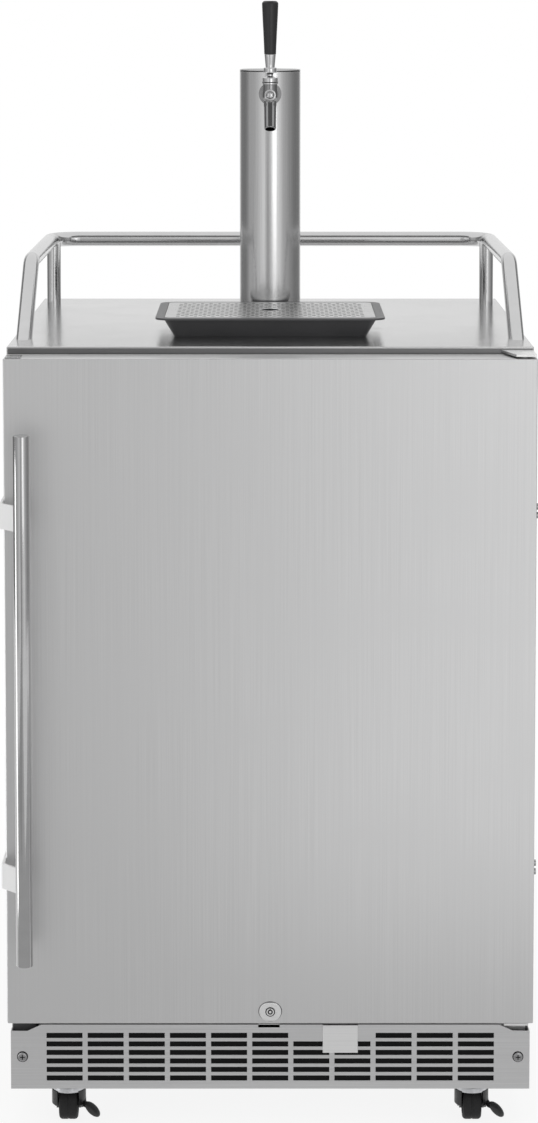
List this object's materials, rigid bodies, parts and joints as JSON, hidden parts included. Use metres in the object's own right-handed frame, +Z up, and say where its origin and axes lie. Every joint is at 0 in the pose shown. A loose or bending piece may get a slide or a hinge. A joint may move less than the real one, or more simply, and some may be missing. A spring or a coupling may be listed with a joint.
{
  "type": "keg cooler",
  "caption": "Free-standing stainless keg cooler on casters with a guard rail, draught tower, single tap and drip tray.",
  "frame": {"origin": "on the floor, at the middle of the object's plan box, handle included", "axes": "+X to the right as seen by someone facing the door, +Y from the door to the back, +Z up"},
  "size_m": [0.611, 0.6958, 1.3135],
  "materials": {
    "worktop_steel": "satin",
    "door_steel": "satin",
    "cabinet_steel": "satin",
    "rear_steel": "satin",
    "frame_trim": "satin",
    "lining": "satin",
    "foam": "matte",
    "keg_plate": "satin",
    "fins": "satin",
    "black_plastic": "satin",
    "black_paint": "satin",
    "copper": "satin",
    "grille_steel": "satin",
    "screws": "polished",
    "cover_plate": "satin",
    "hinge_steel": "satin",
    "polished_tube": "polished",
    "tower_steel": "satin",
    "tap_chrome": "polished",
    "tap_handle": "satin",
    "valve": "satin",
    "tray_plastic": "satin",
    "grid_steel": "satin",
    "gasket": "matte",
    "lock_metal": "satin",
    "zinc": "satin",
    "wheel_rubber": "satin",
    "pedal": "satin"
  },
  "bodies": {
    "cabinet": {"worktop": "worktop_steel", "side_panel_left": "cabinet_steel", "side_panel_right": "cabinet_steel", "back_panel": "rear_steel", "rear_cover": "rear_steel", "base_pan": "rear_steel", "face_frame": "frame_trim", "lining": "lining", "evaporator_cover": "lining", "thermostat_housing": "lining", "insulation_foam": "foam", "keg_floor": "keg_plate", "evaporator": "fins", "condenser_fan_shroud": "black_plastic", "rear_fittings": "black_plastic", "dust_screen": "black_plastic", "compressor": "black_paint", "condenser": "black_paint", "discharge_tube": "copper", "kick_grille": "grille_steel", "cabinet_screws": "screws", "cover_plate": "cover_plate", "top_hinge": "hinge_steel", "bottom_hinge": "hinge_steel", "guard_rail_left": "polished_tube", "guard_rail_right": "polished_tube", "guard_rail_rear": "polished_tube", "tower_column": "tower_steel", "tower_flange": "tower_steel", "tower_cap": "tower_steel", "tap_shank": "tap_chrome", "tap_body": "tap_chrome", "tap_bonnet": "tap_chrome", "caster_plates": "zinc"},
    "door": {"door_skin": "door_steel", "door_core": "foam", "door_inner_panel": "lining", "door_gasket": "gasket", "door_handle": "polished_tube", "handle_brackets": "hinge_steel", "door_fasteners": "screws", "lock_housing": "lock_metal"},
    "lock": {"lock_cylinder": "lock_metal"},
    "tap_lever": {"tap_lever": "tap_chrome", "tap_handle": "tap_handle"},
    "tap_valve": {"tap_valve": "valve"},
    "drip_tray": {"drip_tray": "tray_plastic"},
    "drip_grid": {"drip_grid": "grid_steel"},
    "condenser_fan": {"condenser_fan": "black_plastic"},
    "circulation_fan": {"circulation_fan": "black_plastic"},
    "thermostat_knob": {"thermostat_knob": "black_plastic"},
    "fork_front_left": {"fork_front_left": "zinc"},
    "wheel_front_left": {"wheel_front_left": "wheel_rubber"},
    "fork_front_right": {"fork_front_right": "zinc"},
    "wheel_front_right": {"wheel_front_right": "wheel_rubber"},
    "fork_rear_left": {"fork_rear_left": "zinc"},
    "wheel_rear_left": {"wheel_rear_left": "wheel_rubber"},
    "fork_rear_right": {"fork_rear_right": "zinc"},
    "wheel_rear_right": {"wheel_rear_right": "wheel_rubber"},
    "brake_front_left": {"brake_front_left": "pedal"},
    "brake_front_right": {"brake_front_right": "pedal"}
  },
  "joints": [
    {"name": "door_swing", "type": "hinge", "parent": "cabinet", "child": "door", "pos_m": [0.2895, -0.2674, 0.5], "axis": [0, 0, 1], "range_deg": [0, 115]},
    {"name": "lock_turn", "type": "hinge", "parent": "door", "child": "lock", "pos_m": [0, -0.2884, 0.154], "axis": [0, 1, 0], "range_deg": [0, 90]},
    {"name": "tap_pull", "type": "hinge", "parent": "cabinet", "child": "tap_lever", "pos_m": [0, 0.0059, 1.215], "axis": [1, 0, 0], "range_deg": [0, 25]},
    {"name": "valve_slide", "type": "slide", "parent": "cabinet", "child": "tap_valve", "axis": [0, 1, 0], "range_m": [0, 0.0075]},
    {"name": "tray_lift", "type": "slide", "parent": "cabinet", "child": "drip_tray", "axis": [0, 0, 1], "range_m": [0, 0.12]},
    {"name": "grid_lift", "type": "slide", "parent": "drip_tray", "child": "drip_grid", "axis": [0, 0, 1], "range_m": [0, 0.06]},
    {"name": "condenser_fan_spin", "type": "hinge", "parent": "cabinet", "child": "condenser_fan", "pos_m": [-0.06, 0.2812, 0.116], "axis": [1, 0, 0], "continuous": true},
    {"name": "circulation_fan_spin", "type": "hinge", "parent": "cabinet", "child": "circulation_fan", "pos_m": [0, 0.28, 0.745], "axis": [0, 1, 0], "continuous": true},
    {"name": "thermostat_turn", "type": "hinge", "parent": "cabinet", "child": "thermostat_knob", "pos_m": [0.215, -0.1621, 0.785], "axis": [1, 0, 0], "range_deg": [-135, 135]},
    {"name": "swivel_front_left", "type": "hinge", "parent": "cabinet", "child": "fork_front_left", "pos_m": [-0.237, -0.1984, 0.048], "axis": [0, 0, 1], "continuous": true},
    {"name": "roll_front_left", "type": "hinge", "parent": "fork_front_left", "child": "wheel_front_left", "pos_m": [-0.237, -0.2134, 0.02], "axis": [1, 0, 0], "continuous": true},
    {"name": "swivel_front_right", "type": "hinge", "parent": "cabinet", "child": "fork_front_right", "pos_m": [0.237, -0.1984, 0.048], "axis": [0, 0, 1], "continuous": true},
    {"name": "roll_front_right", "type": "hinge", "parent": "fork_front_right", "child": "wheel_front_right", "pos_m": [0.237, -0.2134, 0.02], "axis": [1, 0, 0], "continuous": true},
    {"name": "swivel_rear_left", "type": "hinge", "parent": "cabinet", "child": "fork_rear_left", "pos_m": [-0.237, 0.2859, 0.048], "axis": [0, 0, 1], "continuous": true},
    {"name": "roll_rear_left", "type": "hinge", "parent": "fork_rear_left", "child": "wheel_rear_left", "pos_m": [-0.237, 0.2709, 0.02], "axis": [1, 0, 0], "continuous": true},
    {"name": "swivel_rear_right", "type": "hinge", "parent": "cabinet", "child": "fork_rear_right", "pos_m": [0.237, 0.2859, 0.048], "axis": [0, 0, 1], "continuous": true},
    {"name": "roll_rear_right", "type": "hinge", "parent": "fork_rear_right", "child": "wheel_rear_right", "pos_m": [0.237, 0.2709, 0.02], "axis": [1, 0, 0], "continuous": true},
    {"name": "pedal_front_left", "type": "hinge", "parent": "fork_front_left", "child": "brake_front_left", "pos_m": [-0.237, -0.2134, 0.02], "axis": [-1, 0, 0], "range_deg": [0, 30]},
    {"name": "pedal_front_right", "type": "hinge", "parent": "fork_front_right", "child": "brake_front_right", "pos_m": [0.237, -0.2134, 0.02], "axis": [-1, 0, 0], "range_deg": [0, 30]}
  ],
  "couplings": [
    {"joint": "valve_slide", "follows": "tap_pull", "m_per_rad": 0.016}
  ]
}
